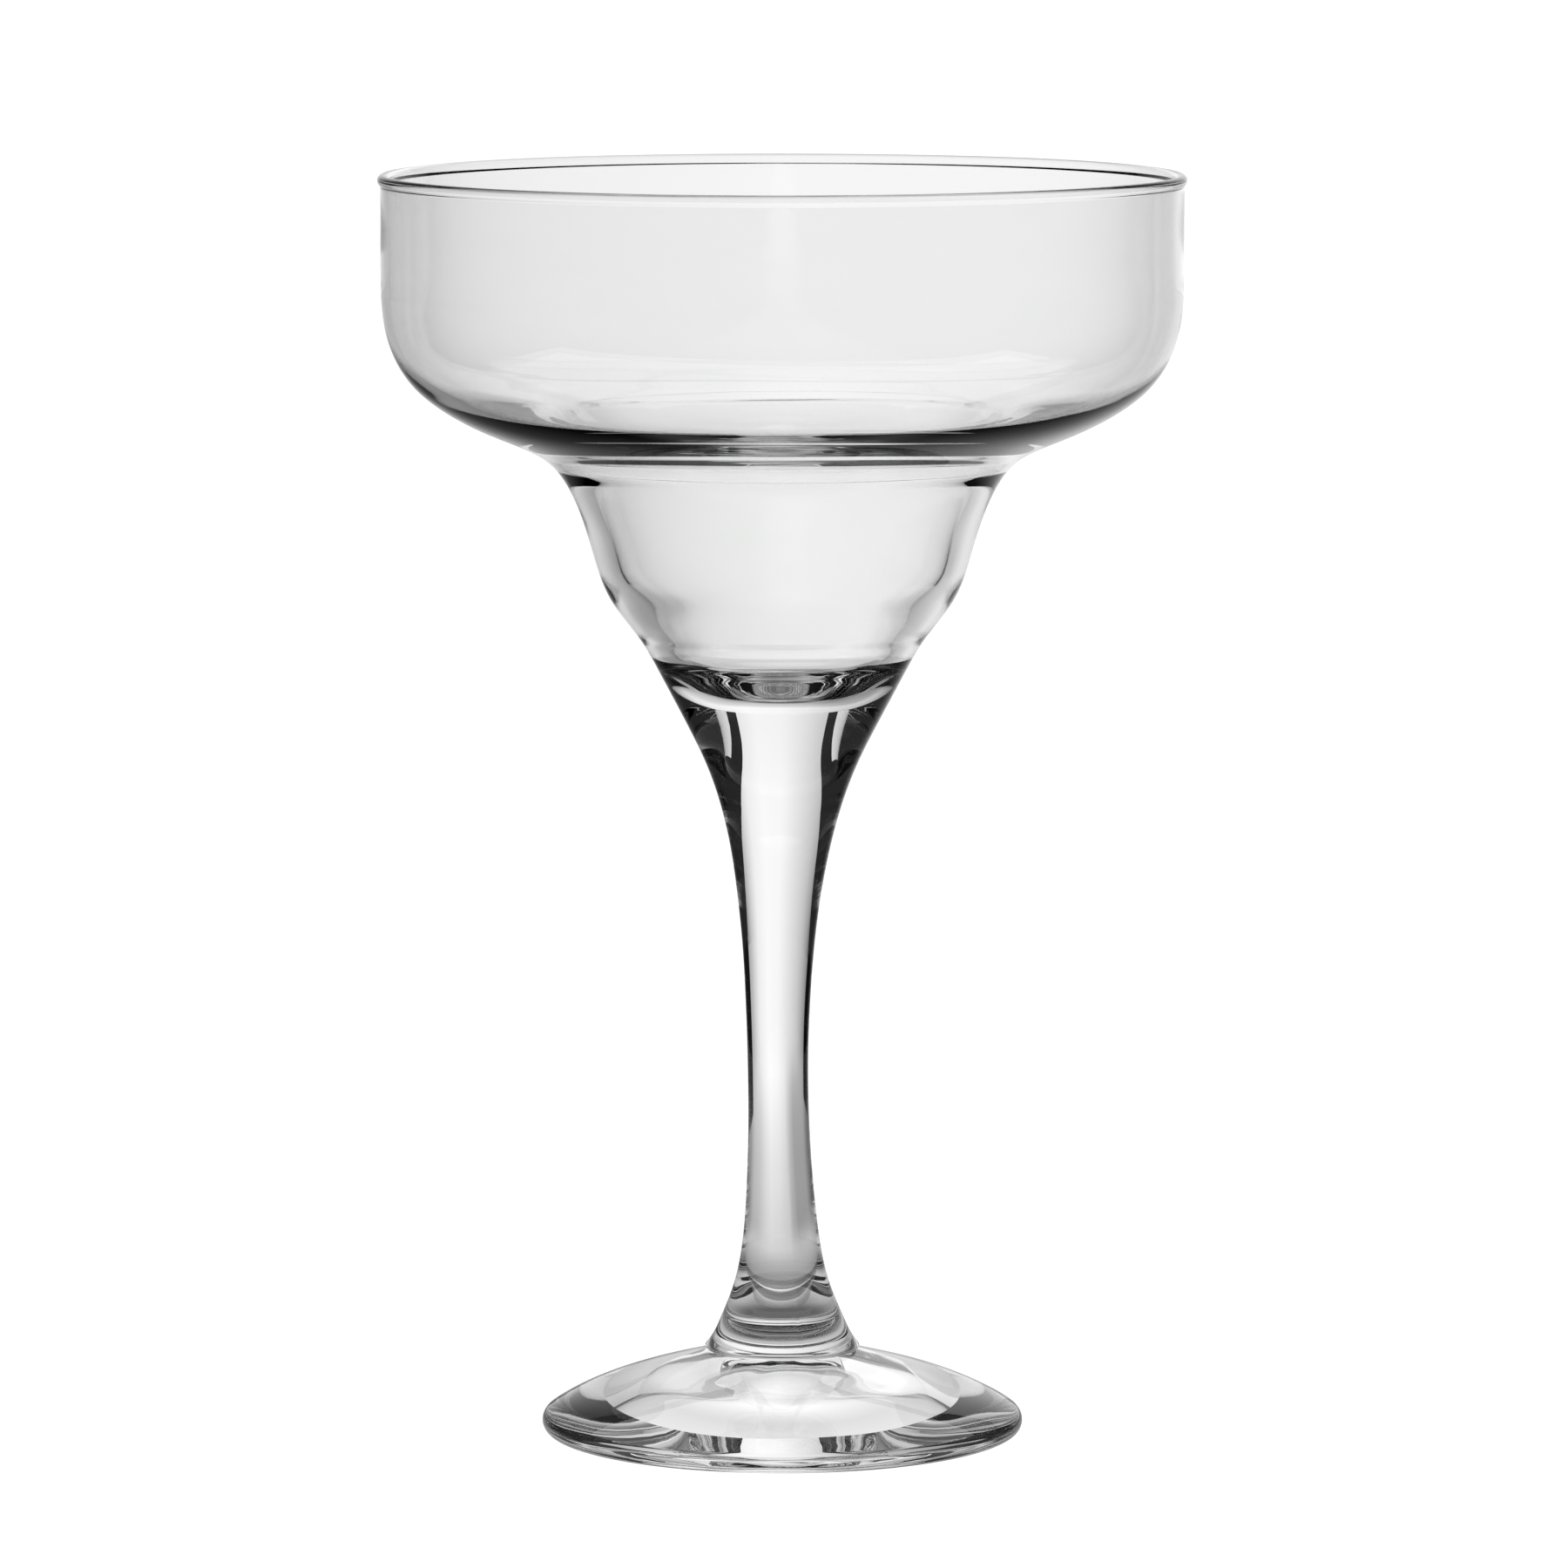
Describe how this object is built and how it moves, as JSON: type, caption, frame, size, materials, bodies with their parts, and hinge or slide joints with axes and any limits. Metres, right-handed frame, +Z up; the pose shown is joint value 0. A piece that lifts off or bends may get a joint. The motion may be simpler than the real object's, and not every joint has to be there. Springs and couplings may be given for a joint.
{
  "type": "margarita glass",
  "caption": "Stemmed cocktail glass with a wide straight-sided bowl over a narrow well, a slender waisted stem and a round domed foot.",
  "frame": {"origin": "centre of the foot, on the plane that the foot's rest ring stands on", "axes": "+Z up along the glass's axis, towards the rim; the glass is round, so +X and +Y are free"},
  "size_m": [0.108, 0.108, 0.17],
  "materials": {
    "bowl_glass": "blown clear soda-lime glass, fire polished",
    "stem_glass": "solid drawn clear soda-lime glass, fire polished",
    "foot_glass": "pressed clear soda-lime glass, fire polished, faintly wavy"
  },
  "bodies": {
    "root": {"bowl": "bowl_glass", "stem": "stem_glass", "foot": "foot_glass"}
  },
  "joints": []
}
